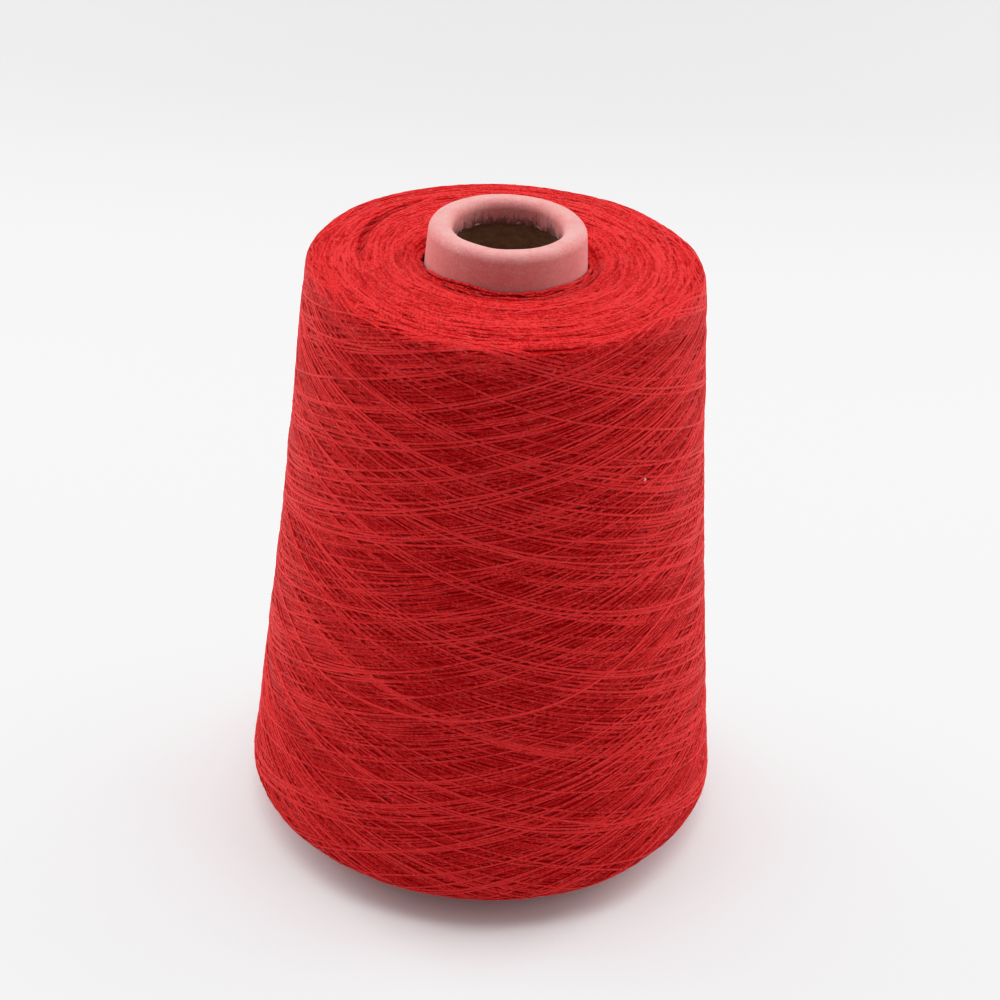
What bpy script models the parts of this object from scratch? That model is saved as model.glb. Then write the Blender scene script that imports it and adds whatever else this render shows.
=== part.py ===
"""Cone of thread: yarn cross-wound on a tapered paper cone with a rolled-in nose.

Metres, +Z up. The origin is the centre of the paper cone's foot, on the surface it stands on.
The winding is carried by the paper cone and stops short of both its ends, so the package
stands on the cone's foot and the rolled nose stands clear above the yarn.
"""
import math

import bpy

# --------------------------------------------------------------------- driving dimensions
# Paper cone: the usual taper of 4 degrees 20 minutes on a length of 170 mm.
CONE_LENGTH = 0.170
CONE_HALF_ANGLE = math.radians(4.33)
NOSE_RADIUS = 0.0192          # outer wall, where its line meets the top of the nose
PAPER_WALL = 0.0022
LIP_ROUNDING = 0.0022         # the nose is rolled over at this radius, outside and inside
LIP_BAND = 0.0057             # nose width from the outer wall to the turned-in face
LIP_DEPTH = 0.0063            # how far the turned-in paper reaches down the bore
LIP_PAPER = 0.0018            # thickness of the turned-in paper at its cut edge

# Winding: measured on the crowns of the yarn.
WINDING_FOOT = 0.0050         # height of the winding's underside
WINDING_EDGE = 0.1595         # height of the top face at its outer edge
SIDE_LOW_RADIUS = 0.0635      # side, just above the rounded bottom edge
SIDE_TOP_RADIUS = 0.0487      # side, where its line meets the top face
BOTTOM_ROUND_WIDTH = 0.0120   # the bottom edge is rounded as a quarter of an ellipse
BOTTOM_ROUND_HEIGHT = 0.0070
TOP_ROUNDING = 0.0020
SEAT_GAP = 0.0003             # between the yarn and the paper that carries it

# Top face: how its height changes from the paper outwards.
TOP_FACE_ROWS = (
    # distance from the paper, height
    (0.0000, 0.1572),
    (0.0014, 0.1580),
    (0.0028, 0.1603),
    (0.0046, 0.1613),
    (0.0072, 0.1615),
    (0.0098, 0.1614),
    (0.0124, 0.1612),
    (0.0150, 0.1610),
    (0.0176, 0.1607),
    (0.0202, 0.1604),
    (0.0228, 0.1600),
)
HOLLOW_FILL_IN_FRONT = 0.0020  # the hollow round the nose is shallower in front (-Y)
HOLLOW_WIDTH = 0.0036

# Relief of the main twists: crossed bundles on the side, slack turns on the top face.
BUNDLES_PER_TURN = 6
BUNDLE_SPACING = 0.0135       # up the side, from one bundle to the next
BUNDLE_DEPTH = 0.0006
BUNDLE_DRIFT = 0.7            # radians that the pattern wanders by, up the side
BUNDLE_DRIFT_LENGTH = 0.071
TURN_SPACING = 0.0055         # across the top face
TURN_DEPTH = 0.0006
TURN_WANDER = 1.3             # radians that a slack turn wanders by, round the top face
SLACK_GROOVE_START = math.radians(205)   # azimuths from +X, anticlockwise seen from above
SLACK_GROOVE_END = math.radians(118)
SLACK_GROOVE_RADIUS_START = 0.0340
SLACK_GROOVE_RADIUS_END = 0.0395
SLACK_GROOVE_WIDTH = 0.0024
SLACK_GROOVE_DEPTH = 0.0013

ROUND_STEPS = 60
SIDE_ROWS = 50
ARC_STEPS = 4
MERGE_DISTANCE = 0.00005

PAPER_PINK = (0.60, 0.145, 0.155)
YARN_RED = (0.52, 0.012, 0.016)


# --------------------------------------------------------------------- shared shape helpers
def paper_radius(height):
    """Outer radius of the paper cone at a height above its foot."""
    return NOSE_RADIUS + (CONE_LENGTH - height) * math.tan(CONE_HALF_ANGLE)


def elliptic_arc(centre, half_width, half_height, start_degrees, end_degrees):
    """Points (radius, height) along an arc, both ends included."""
    points = []
    for step in range(ARC_STEPS + 1):
        share = step / ARC_STEPS
        angle = math.radians(start_degrees + (end_degrees - start_degrees) * share)
        points.append((centre[0] + half_width * math.cos(angle),
                       centre[1] + half_height * math.sin(angle)))
    return points


def make_material(name, colour, roughness):
    material = bpy.data.materials.new(name)
    material.use_nodes = True
    shader = material.node_tree.nodes["Principled BSDF"]
    shader.inputs["Base Color"].default_value = (*colour, 1.0)
    shader.inputs["Roughness"].default_value = roughness
    shader.inputs["Metallic"].default_value = 0.0
    material.diffuse_color = (*colour, 1.0)
    return material


def turn_profile(name, profile, collection):
    """A closed profile at +X, turned about Z. It runs down its outer side."""
    outline = bpy.data.meshes.new(name)
    corners = [(radius, 0.0, height) for radius, height in profile]
    edges = [(index, (index + 1) % len(corners)) for index in range(len(corners))]
    outline.from_pydata(corners, edges, [])
    turned = bpy.data.objects.new(name, outline)
    collection.objects.link(turned)
    screw = turned.modifiers.new("Turn", "SCREW")
    screw.axis = "Z"
    screw.angle = math.tau
    screw.steps = ROUND_STEPS
    screw.render_steps = ROUND_STEPS
    screw.use_merge_vertices = True
    screw.merge_threshold = MERGE_DISTANCE
    screw.use_smooth_shade = True
    return turned


def make_real(turned):
    """Replace a modified object by a plain mesh object of the same name."""
    name = turned.name
    collection = turned.users_collection[0]
    bpy.context.view_layer.update()
    evaluated = turned.evaluated_get(bpy.context.evaluated_depsgraph_get())
    mesh = bpy.data.meshes.new_from_object(evaluated)
    bpy.data.objects.remove(turned)
    real = bpy.data.objects.new(name, mesh)
    mesh.name = name
    collection.objects.link(real)
    return real


# --------------------------------------------------------------------- paper cone
def paper_cone_profile():
    """The wall of the cone, rolled over at the nose and turned down inside the bore."""
    roll_height = CONE_LENGTH - LIP_ROUNDING
    outer_roll = (paper_radius(roll_height) - LIP_ROUNDING, roll_height)
    inner_roll = (NOSE_RADIUS - LIP_BAND + LIP_ROUNDING, roll_height)
    cut_edge_height = CONE_LENGTH - LIP_DEPTH
    cut_edge_radius = NOSE_RADIUS - LIP_BAND + 0.1 * LIP_ROUNDING
    under_lip_height = cut_edge_height - 0.5 * LIP_PAPER

    profile = elliptic_arc(outer_roll, LIP_ROUNDING, LIP_ROUNDING, 90, 0)
    profile.append((paper_radius(0.0), 0.0))
    profile.append((paper_radius(0.0) - PAPER_WALL, 0.0))
    profile.append((paper_radius(under_lip_height) - PAPER_WALL, under_lip_height))
    profile.append((cut_edge_radius + LIP_PAPER, cut_edge_height))
    profile.append((cut_edge_radius, cut_edge_height))
    profile.extend(elliptic_arc(inner_roll, LIP_ROUNDING, LIP_ROUNDING, 180, 90))
    return profile


def make_paper_cone(collection):
    cone = turn_profile("paper_cone", paper_cone_profile(), collection)
    cone.data.materials.append(make_material("pink_paper", PAPER_PINK, 0.85))
    return cone


# --------------------------------------------------------------------- yarn winding
def winding_profile():
    """Top face from the paper outwards, top edge, side, bottom edge and underside."""
    def seat(height):
        return paper_radius(height) + SEAT_GAP / math.cos(CONE_HALF_ANGLE)

    profile = [(seat(height) + distance, height) for distance, height in TOP_FACE_ROWS]

    top_centre = (SIDE_TOP_RADIUS - TOP_ROUNDING, WINDING_EDGE - TOP_ROUNDING)
    profile.extend(elliptic_arc(top_centre, TOP_ROUNDING, TOP_ROUNDING, 90, 0))

    side_top = WINDING_EDGE - TOP_ROUNDING
    side_low = WINDING_FOOT + BOTTOM_ROUND_HEIGHT
    for row in range(1, SIDE_ROWS):
        share = row / SIDE_ROWS
        profile.append((SIDE_TOP_RADIUS + (SIDE_LOW_RADIUS - SIDE_TOP_RADIUS) * share,
                        side_top + (side_low - side_top) * share))

    bottom_centre = (SIDE_LOW_RADIUS - BOTTOM_ROUND_WIDTH, side_low)
    profile.extend(elliptic_arc(bottom_centre, BOTTOM_ROUND_WIDTH, BOTTOM_ROUND_HEIGHT, 0, -90))
    middle = 0.5 * (bottom_centre[0] + seat(WINDING_FOOT))
    profile.append((middle, WINDING_FOOT))
    profile.append((seat(WINDING_FOOT), WINDING_FOOT))
    return profile


def smooth_step(value):
    value = min(max(value, 0.0), 1.0)
    return value * value * (3.0 - 2.0 * value)


def bundle_relief(azimuth, height):
    """Inward depth of the slots between the bundles of yarn that cross on the side."""
    drift = BUNDLE_DRIFT * math.sin(math.tau * height / BUNDLE_DRIFT_LENGTH)
    climb = math.tau * height / BUNDLE_SPACING
    right_hand = math.cos(BUNDLES_PER_TURN * azimuth + climb + drift)
    left_hand = math.cos(BUNDLES_PER_TURN * azimuth - climb + drift)
    return BUNDLE_DEPTH * 0.5 * (1.0 - max(right_hand, left_hand))


def slack_turn_relief(azimuth, radius):
    """Depth of the slots between the slack turns that lie round the top face."""
    wander = TURN_WANDER * math.sin(2.0 * azimuth) + azimuth
    return TURN_DEPTH * 0.5 * (1.0 - math.cos(math.tau * radius / TURN_SPACING + wander))


def slack_groove_relief(azimuth, radius):
    """Depth of the one deep groove, which spirals outwards behind the nose on the left."""
    along = (azimuth % math.tau - SLACK_GROOVE_START) / (SLACK_GROOVE_END - SLACK_GROOVE_START)
    if not 0.0 < along < 1.0:
        return 0.0
    line = SLACK_GROOVE_RADIUS_START
    line += (SLACK_GROOVE_RADIUS_END - SLACK_GROOVE_RADIUS_START) * along
    across = abs(radius - line) / SLACK_GROOVE_WIDTH
    return SLACK_GROOVE_DEPTH * math.sin(math.pi * along) * (1.0 - smooth_step(across))


def hollow_fill(azimuth, distance):
    """Raises the hollow round the nose in front, where the yarn lies close to the paper."""
    facing_front = smooth_step(0.5 - 0.5 * math.sin(azimuth))
    near_paper = 1.0 - smooth_step(distance / HOLLOW_WIDTH)
    return HOLLOW_FILL_IN_FRONT * facing_front * near_paper


def raise_yarn(mesh):
    """Move the turned mesh's points to the crowns and slots of the yarn."""
    side_top = WINDING_EDGE - TOP_ROUNDING
    for vertex in mesh.vertices:
        x, y, height = vertex.co
        radius = math.hypot(x, y)
        azimuth = math.atan2(y, x)
        distance = radius - paper_radius(height)
        if distance > HOLLOW_WIDTH and height < side_top:
            fade = smooth_step((side_top - height) / TOP_ROUNDING)
            fade *= smooth_step((height - WINDING_FOOT) / BOTTOM_ROUND_HEIGHT)
            new_radius = radius - fade * bundle_relief(azimuth, height)
            vertex.co.x = new_radius * math.cos(azimuth)
            vertex.co.y = new_radius * math.sin(azimuth)
        elif height > WINDING_FOOT + BOTTOM_ROUND_HEIGHT:
            fade = smooth_step(distance / HOLLOW_WIDTH)
            fade *= smooth_step((SIDE_TOP_RADIUS - radius) / TOP_ROUNDING)
            sink = fade * slack_turn_relief(azimuth, radius)
            sink += slack_groove_relief(azimuth, radius)
            vertex.co.z = height - sink + hollow_fill(azimuth, distance)


def make_yarn_winding(collection):
    winding = make_real(turn_profile("yarn_winding", winding_profile(), collection))
    raise_yarn(winding.data)
    winding.data.shade_smooth()
    winding.data.materials.append(make_material("red_yarn", YARN_RED, 0.90))
    return winding


# --------------------------------------------------------------------- assembly
def main():
    for old in list(bpy.data.objects):
        bpy.data.objects.remove(old)
    collection = bpy.data.collections.new("cone_of_thread")
    bpy.context.scene.collection.children.link(collection)
    stand = bpy.data.objects.new("cone_foot_centre", None)
    collection.objects.link(stand)
    for piece in (make_paper_cone(collection), make_yarn_winding(collection)):
        piece.parent = stand


main()
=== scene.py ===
"""Cone of thread: red yarn cross-wound on a pink paper cone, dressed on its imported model.

Metres, +Z up, the front at -Y. The paper cone comes first. Then the yarn is laid on it, turns
on the two ends and crossing coils on the side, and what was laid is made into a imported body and
the strands that show on it. Last come the loose fibres and a bit of lint.
"""
import math

import bpy
import numpy as np
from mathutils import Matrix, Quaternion, Vector


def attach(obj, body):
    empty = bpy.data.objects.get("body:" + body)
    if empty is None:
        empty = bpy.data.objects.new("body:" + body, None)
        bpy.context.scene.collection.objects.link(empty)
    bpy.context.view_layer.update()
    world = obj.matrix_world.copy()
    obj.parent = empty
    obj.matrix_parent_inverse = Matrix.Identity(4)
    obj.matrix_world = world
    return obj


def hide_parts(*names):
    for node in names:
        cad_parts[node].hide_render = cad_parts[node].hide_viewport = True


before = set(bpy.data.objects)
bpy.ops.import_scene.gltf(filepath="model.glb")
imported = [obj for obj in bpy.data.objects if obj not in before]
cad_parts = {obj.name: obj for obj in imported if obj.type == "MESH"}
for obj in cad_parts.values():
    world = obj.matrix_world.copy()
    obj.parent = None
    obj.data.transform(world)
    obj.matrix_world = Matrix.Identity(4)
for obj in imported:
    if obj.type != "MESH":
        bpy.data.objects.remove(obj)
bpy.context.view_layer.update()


# ------------------------------------------------------------------------------------ camera
# The package is looked down on from about 32 degrees, half a metre off, through a lens of
# about 74 mm, with the slight roll of a camera that wasn't quite level.
CAMERA_PLACE = (0.0, -0.45754, 0.37180)
CAMERA_AIM = (0.00162, 0.0, 0.09135)
CAMERA_ROLL = math.radians(3.08)
CAMERA_LENS = 73.69


def turn_towards(place, aim):
    """The turn that points a camera or a light from its place at its aim."""
    return (Vector(aim) - Vector(place)).to_track_quat("-Z", "Y")


def add_to_scene(name, data):
    made = bpy.data.objects.new(name, data)
    bpy.context.scene.collection.objects.link(made)
    return made


camera = add_to_scene("camera", bpy.data.cameras.new("camera"))
camera.data.sensor_width = 36.0
camera.data.lens = CAMERA_LENS
camera.location = CAMERA_PLACE
camera_turn = turn_towards(CAMERA_PLACE, CAMERA_AIM) @ Quaternion((0, 0, 1), CAMERA_ROLL)
camera.rotation_euler = camera_turn.to_euler()
bpy.context.scene.camera = camera


# ------------------------------------------------------------------- floor, backdrop, lights
# One sheet of white paper makes the floor and sweeps up softly behind, where its colour shades
# to grey: painted shade for the light falling off there. A wide lamp overhead and two tall ones
# do most of the work from behind, so the front stays darker than the sides. The camera rolls the
# brightest paper off below white.
FLOOR_WHITE = (0.845, 0.848, 0.858)
# The grey is painted shade, for the paper far back where less light reaches it.
FLOOR_SHADE_GREY = (0.57, 0.57, 0.575)
GREYING = (0.18, 0.56)        # how far back the paper starts and ends its shading
GREYING_DRIFT = 0.04
FLOOR_TOOTH = 0.00002
FLOOR_HALF_WIDTH = 2.6
FLOOR_FRONT = -2.6
SWEEP_START = 0.42
SWEEP_RADIUS = 1.10
SWEEP_STEPS = 24
LAMPS = (
    # name, place, width, length, power
    ("lamp_overhead", (0.0, 0.28, 1.30), 1.5, 1.3, 15.5),
    ("lamp_back_left", (-1.00, 0.55, 0.62), 0.8, 1.0, 10.0),
    ("lamp_back_right", (1.00, 0.55, 0.62), 0.8, 1.0, 10.0),
    ("lamp_left", (-1.05, -0.20, 0.62), 0.8, 1.0, 4.0),
    ("lamp_right", (1.05, -0.20, 0.62), 0.8, 1.0, 4.0),
    ("lamp_front", (0.0, -1.60, 0.90), 1.5, 1.0, 3.0),
)
LAMP_AIM = (0.0, 0.0, 0.07)
ROOM_COLOUR = (0.97, 0.98, 1.0)
ROOM_LIGHT = 0.06
BRIGHTEST = 1.8
ROLL_OFF = (
    # light in the scene, light in the picture
    (0.37, 0.37), (0.74, 0.74), (0.88, 0.85), (1.0, 0.895), (1.3, 0.935), (BRIGHTEST, 0.95),
)


class Value:
    """A value or a colour in a material. Arithmetic on a value adds the Math nodes it needs."""

    def __init__(self, finish, socket):
        self.finish = finish
        self.socket = socket

    def work(self, operation, first, second=0.0):
        return self.finish.node("ShaderNodeMath", {"operation": operation},
                                {0: first, 1: second})

    def __add__(self, other):
        return self.work("ADD", self, other)

    __radd__ = __add__

    def __sub__(self, other):
        return self.work("SUBTRACT", self, other)

    def __rsub__(self, other):
        return self.work("SUBTRACT", other, self)

    def __mul__(self, other):
        return self.work("MULTIPLY", self, other)

    __rmul__ = __mul__

    def sine(self):
        return self.work("SINE", self)

    def part(self, output):
        """Another output of the node that this one comes from."""
        return Value(self.finish, self.socket.node.outputs[output])

    def within(self, low, high):
        """How far the value has gone from low to high, as 0 to 1."""
        return self.finish.node(
            "ShaderNodeMapRange", {"interpolation_type": "SMOOTHSTEP"},
            {"Value": self, "From Min": low, "From Max": high})


class Finish:
    """A material: the fixed settings of its shader, and the nodes that vary over a surface."""

    def __init__(self, name, **fixed):
        self.material = bpy.data.materials.new(name)
        self.material.use_nodes = True
        self.tree = self.material.node_tree
        self.shader = self.tree.nodes["Principled BSDF"]
        for setting, value in fixed.items():
            self.shader.inputs[setting.replace("_", " ")].default_value = value

    def join(self, value, socket):
        if isinstance(value, Value):
            self.tree.links.new(value.socket, socket)
        else:
            socket.default_value = value

    def node(self, kind, settings=(), sockets=(), output=0):
        """Adds a node. Its settings come first, because they decide which sockets it has."""
        made = self.tree.nodes.new(kind)
        for setting, value in dict(settings).items():
            setattr(made, setting, value)
        for socket, value in dict(sockets).items():
            self.join(value, made.inputs[socket])
        return Value(self, made.outputs[output])

    def place(self):
        return self.node("ShaderNodeTexCoord", output=3)

    def stretched(self, place, scale):
        """A place measured finer or coarser along each way, which stretches what is read there."""
        return self.node("ShaderNodeMapping", {"vector_type": "POINT"},
                         {"Vector": place, "Scale": scale})

    def noted(self, name):
        """The number that each point of the mesh keeps under a name."""
        return self.node("ShaderNodeAttribute", {"attribute_name": name}, output=2)

    def noise(self, place, scale, detail=3.0, roughness=0.55):
        """Soft random marks between 0 and 1, about as many of them in a metre as the scale."""
        return self.node("ShaderNodeTexNoise", {"noise_dimensions": "3D"},
                         {"Vector": place, "Scale": scale, "Detail": detail,
                          "Roughness": roughness})

    def mixed(self, share, first, second):
        """The first colour where the share is 0, the second where it is 1."""
        return self.node("ShaderNodeMix", {"data_type": "RGBA"},
                         {0: share, 6: first, 7: second}, output=2)

    def paint(self, tint, height, step):
        """Joins a colour, and a height in shares of a step in metres, to the shader."""
        self.join(tint, self.shader.inputs["Base Color"])
        relief = self.node("ShaderNodeBump", (),
                           {"Height": height, "Distance": step, "Strength": 1.0})
        self.join(relief, self.shader.inputs["Normal"])


def colour(red, green, blue):
    return (red, green, blue, 1.0)


def floor_finish():
    paper = Finish("studio_paper", Roughness=0.9, Specular_IOR_Level=0.1)
    tooth = paper.noise(paper.place(), 900.0)
    drift = paper.noise(paper.place(), 2.5, detail=1.0)
    back = paper.node("ShaderNodeSeparateXYZ", (), {0: paper.place()}).part(1)
    # Painted shade: the paper's colour turns grey towards the back, where the light falls off.
    shading = (back + GREYING_DRIFT * (drift - 0.5)).within(*GREYING)
    tone = paper.mixed(shading, colour(*FLOOR_WHITE), colour(*FLOOR_SHADE_GREY))
    paper.paint(tone, tooth, FLOOR_TOOTH)
    return paper.material


def make_floor():
    turns = [math.radians(90.0) * step / SWEEP_STEPS for step in range(SWEEP_STEPS + 1)]
    line = [(FLOOR_FRONT, 0.0)]
    line += [(SWEEP_START + SWEEP_RADIUS * math.sin(turn),
              SWEEP_RADIUS * (1.0 - math.cos(turn))) for turn in turns]
    points = [(side * FLOOR_HALF_WIDTH, away, height)
              for away, height in line for side in (-1, 1)]
    faces = [(2 * row, 2 * row + 1, 2 * row + 3, 2 * row + 2) for row in range(len(line) - 1)]
    mesh = bpy.data.meshes.new("studio_floor")
    mesh.from_pydata(points, [], faces)
    mesh.shade_smooth()
    mesh.materials.append(floor_finish())
    return add_to_scene("studio_floor", mesh)


def hang_lamp(name, place, width, length, power):
    """A lamp with a wide soft face, which the camera doesn't see."""
    lamp = add_to_scene(name, bpy.data.lights.new(name, "AREA"))
    lamp.data.shape = "RECTANGLE"
    lamp.data.size = width
    lamp.data.size_y = length
    lamp.data.energy = power
    lamp.location = place
    lamp.rotation_euler = turn_towards(place, LAMP_AIM).to_euler()
    lamp.visible_camera = False


make_floor()
for lamp_facts in LAMPS:
    hang_lamp(*lamp_facts)
room = bpy.data.worlds.new("room")
room.use_nodes = True
room.node_tree.nodes["Background"].inputs["Color"].default_value = colour(*ROOM_COLOUR)
room.node_tree.nodes["Background"].inputs["Strength"].default_value = ROOM_LIGHT
bpy.context.scene.world = room


def roll_off_whites():
    """Keeps the brightest paper below white, as a camera does. Darker tones stay as they are."""
    picture = bpy.context.scene.view_settings
    picture.view_transform = "Standard"
    picture.use_curve_mapping = True
    picture.curve_mapping.white_level = (BRIGHTEST, BRIGHTEST, BRIGHTEST)
    line = picture.curve_mapping.curves[3]      # the one for all three colours together
    line.points[1].location = (1.0, ROLL_OFF[-1][1])
    for light, shown_light in ROLL_OFF[:-1]:
        line.points.new(light / BRIGHTEST, shown_light)
    picture.curve_mapping.update()


roll_off_whites()


# -------------------------------------------------------------------------------- paper cone
# Kraft paper wound and glued to a taper of 4 degrees 20 minutes, with a pink outer ply. The
# nose is rolled over and turned down inside the bore, where its crimped edge was cut off
# roughly. It is one bonded piece.
CONE_LENGTH = 0.170
CONE_TAPER = math.tan(math.radians(4.33))
NOSE_RADIUS = 0.0192
PAPER_WALL = 0.0022
LIP_ROUNDING = 0.0022
LIP_BAND = 0.0057             # from the outside of the nose to the bore in the lip
LIP_DEPTH = 0.0063            # how far the lip reaches down the bore
LIP_PAPER = 0.0018
CONE_STEPS = 288
NOSE_FOOT = 0.158             # the rolling of the nose moved the paper above this height
NOSE_FADE = 0.006
NOSE_SLUMP = 0.00010
CREST_UNEVENNESS = 0.00008
CRIMP_DEPTH = 0.00007
CUT_RAGGEDNESS = 0.00034
TORN_LENGTH = 0.00030
TORN_BITS = (
    # degrees round from the right, half width in degrees
    (124, 3.0), (79, 2.0), (57, 4.0), (24, 2.5), (158, 2.0),
)
ROUGH_LIP = (203, 9.0)        # where the lip is frayed, in the same measures
ROUGH_DEPTH = 0.00022
PULP_RELIEF = 0.00006

PINK_SIDE = (0.63, 0.172, 0.168)
PINK_PALER = (0.70, 0.325, 0.305)
# Painted shade, for the lip where it turns down inside the bore:
PINK_SHADED_IN_BORE = (0.15, 0.048, 0.038)
PINK_TORN = (0.86, 0.60, 0.55)
KRAFT = (0.46, 0.27, 0.150)
KRAFT_DARK = (0.30, 0.165, 0.090)


def paper_radius(height):
    return NOSE_RADIUS + (CONE_LENGTH - height) * CONE_TAPER


def paper_section():
    """Closed section as rows of radius, height, share turned in, share of bare kraft."""
    roll = CONE_LENGTH - LIP_ROUNDING
    outer_roll = paper_radius(roll) - LIP_ROUNDING * math.hypot(1.0, CONE_TAPER)
    inner_roll = NOSE_RADIUS - LIP_BAND + LIP_ROUNDING
    cut_height = CONE_LENGTH - LIP_DEPTH
    cut_radius = NOSE_RADIUS - LIP_BAND + 0.1 * LIP_ROUNDING
    under_lip = cut_height - 0.5 * LIP_PAPER
    # Up the outside, closer together where the paper shows, and over the rolled nose.
    heights = [0.0, 0.0006, 0.002, 0.004, 0.006, 0.02, 0.05, 0.10, 0.15]
    heights += list(np.arange(0.1545, roll, 0.0007))
    rows = [(paper_radius(height), height, 0.0, 0.0) for height in heights]
    for turn in np.linspace(math.atan(CONE_TAPER), 0.5 * math.pi, 14):
        rows.append((outer_roll + LIP_ROUNDING * math.cos(turn),
                     roll + LIP_ROUNDING * math.sin(turn), 0.0, 0.0))
    for share in (0.3, 0.7):
        rows.append((outer_roll + (inner_roll - outer_roll) * share, CONE_LENGTH, 0.0, 0.0))
    for turn in np.radians(np.linspace(90, 180, 13)):
        rows.append((inner_roll + LIP_ROUNDING * math.cos(turn),
                     roll + LIP_ROUNDING * math.sin(turn), (turn - math.pi / 2) * 0.2, 0.0))
    # Down the lip inside the bore, and across its cut edge.
    for share in np.linspace(0.1, 1.0, 11):
        rows.append((inner_roll - LIP_ROUNDING + (cut_radius - inner_roll + LIP_ROUNDING) * share,
                     roll + (cut_height - roll) * share, 0.3 + 0.7 * share, 0.0))
    for share in (0.15, 0.5, 0.85, 1.0):
        rows.append((cut_radius + LIP_PAPER * share, cut_height, 1.0, 0.35 + 0.5 * share))
    # Down the bare bore, and across the foot.
    bore_top = paper_radius(under_lip) - PAPER_WALL
    for height in np.linspace(under_lip, 0.0, 24):
        rows.append((bore_top + (under_lip - height) * CONE_TAPER, height, 0.0, 1.0))
    for share in (0.2, 0.4, 0.6, 0.8, 0.93):
        rows.append((paper_radius(0.0) - PAPER_WALL * (1.0 - share), 0.0, 0.0, 1.0))
    return np.array(rows)


def ring_noise(random, steps, lowest, highest):
    """A wavering line round a ring, which meets itself, between about -1 and 1."""
    angles = np.linspace(0, math.tau, steps, endpoint=False)
    line = np.zeros(steps)
    for waves in range(lowest, highest + 1):
        line += np.cos(waves * angles + random.uniform(0, math.tau)) * random.normal()
    return line / (2.0 * line.std())


def turned_points(section, steps):
    """Points of a section turned round the upright line, as rows by steps by three."""
    angles = np.linspace(0, math.tau, steps, endpoint=False)
    across, around = section[:, 0], np.stack([np.cos(angles), np.sin(angles)])
    points = np.empty((len(section), steps, 3))
    points[..., 0] = across[:, None] * around[0]
    points[..., 1] = across[:, None] * around[1]
    points[..., 2] = section[:, 1][:, None]
    return points


def ring_faces(row_count, steps):
    """Four-sided faces that join rows of points round a closed section."""
    row = np.arange(row_count)[:, None]
    step = np.arange(steps)[None, :]
    next_row, next_step = (row + 1) % row_count, (step + 1) % steps
    corners = [row * steps + step, row * steps + next_step,
               next_row * steps + next_step, next_row * steps + step]
    return np.stack(corners, -1).reshape(-1, 4)


def mesh_from(name, points, faces, finish):
    """A smooth mesh. The faces come in groups, each an array with one row of corners a face."""
    mesh = bpy.data.meshes.new(name)
    mesh.vertices.add(len(points))
    mesh.vertices.foreach_set("co", np.asarray(points, np.float32).ravel())
    corners = np.concatenate([group.ravel() for group in faces]).astype(np.int32)
    sizes = np.concatenate([np.full(len(group), group.shape[1]) for group in faces])
    starts = np.concatenate([[0], np.cumsum(sizes)[:-1]]).astype(np.int32)
    mesh.loops.add(len(corners))
    mesh.loops.foreach_set("vertex_index", corners)
    mesh.polygons.add(len(starts))
    mesh.polygons.foreach_set("loop_start", starts)
    mesh.update(calc_edges=True)
    mesh.validate()
    mesh.shade_smooth()
    mesh.materials.append(finish)
    return mesh


def note_on_points(mesh, name, values):
    """Keeps one number for each point of a mesh, for its material to read."""
    layer = mesh.attributes.new(name, "FLOAT", "POINT")
    layer.data.foreach_set("value", np.asarray(values, np.float32).ravel())


def paper_finish():
    paper = Finish("pink_paper", Roughness=0.86, Specular_IOR_Level=0.25, Sheen_Weight=0.12,
                   Sheen_Roughness=0.6)
    place = paper.place()
    turned_in = paper.noted("turned_in")
    kraft = paper.noted("kraft")
    crest = paper.noted("lip_crest")
    torn = paper.noted("torn")
    level = paper.stretched(place, (1.0, 1.0, 2.4))
    upright = paper.stretched(place, (1.0, 1.0, 0.30))
    pulp = paper.noise(place, 1400.0, detail=4.0, roughness=0.7)
    clouds = paper.noise(place, 170.0)
    scuffs = paper.noise(level, 420.0, detail=4.0, roughness=0.65)
    crimps = paper.noise(upright, 900.0, detail=4.0, roughness=0.65)
    fibres = paper.noise(place, 2600.0, detail=2.0, roughness=0.6)
    specks = 1.7 * (fibres - 0.5) + 0.9 * (pulp - 0.5)
    # Paler in random patches, and paler towards the crest of the rolled lip.
    paling = 0.45 * crest + 1.1 * (clouds - 0.4) + 1.0 * (scuffs - 0.5) + specks
    pink = paper.mixed(paling.within(-0.35, 1.15), colour(*PINK_SIDE), colour(*PINK_PALER))
    # Painted shade: the lip grows darker as it turns down into the bore, broken up by the crimps.
    bore_shade = (turned_in - 0.42 + 1.7 * (crimps - 0.5) + 0.9 * (fibres - 0.5)).within(0.0, 0.62)
    pink = paper.mixed(bore_shade, pink, colour(*PINK_SHADED_IN_BORE))
    pink = paper.mixed((torn + 1.2 * (fibres - 0.5)).within(0.3, 0.6), pink, colour(*PINK_TORN))
    brown = paper.mixed(scuffs.within(0.3, 0.7), colour(*KRAFT_DARK), colour(*KRAFT))
    tone = paper.mixed((kraft + 0.5 * (pulp - 0.5)).within(0.3, 0.7), pink, brown)
    paper.paint(tone, 0.5 * pulp + 0.5 * scuffs, PULP_RELIEF)
    return paper.material


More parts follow.
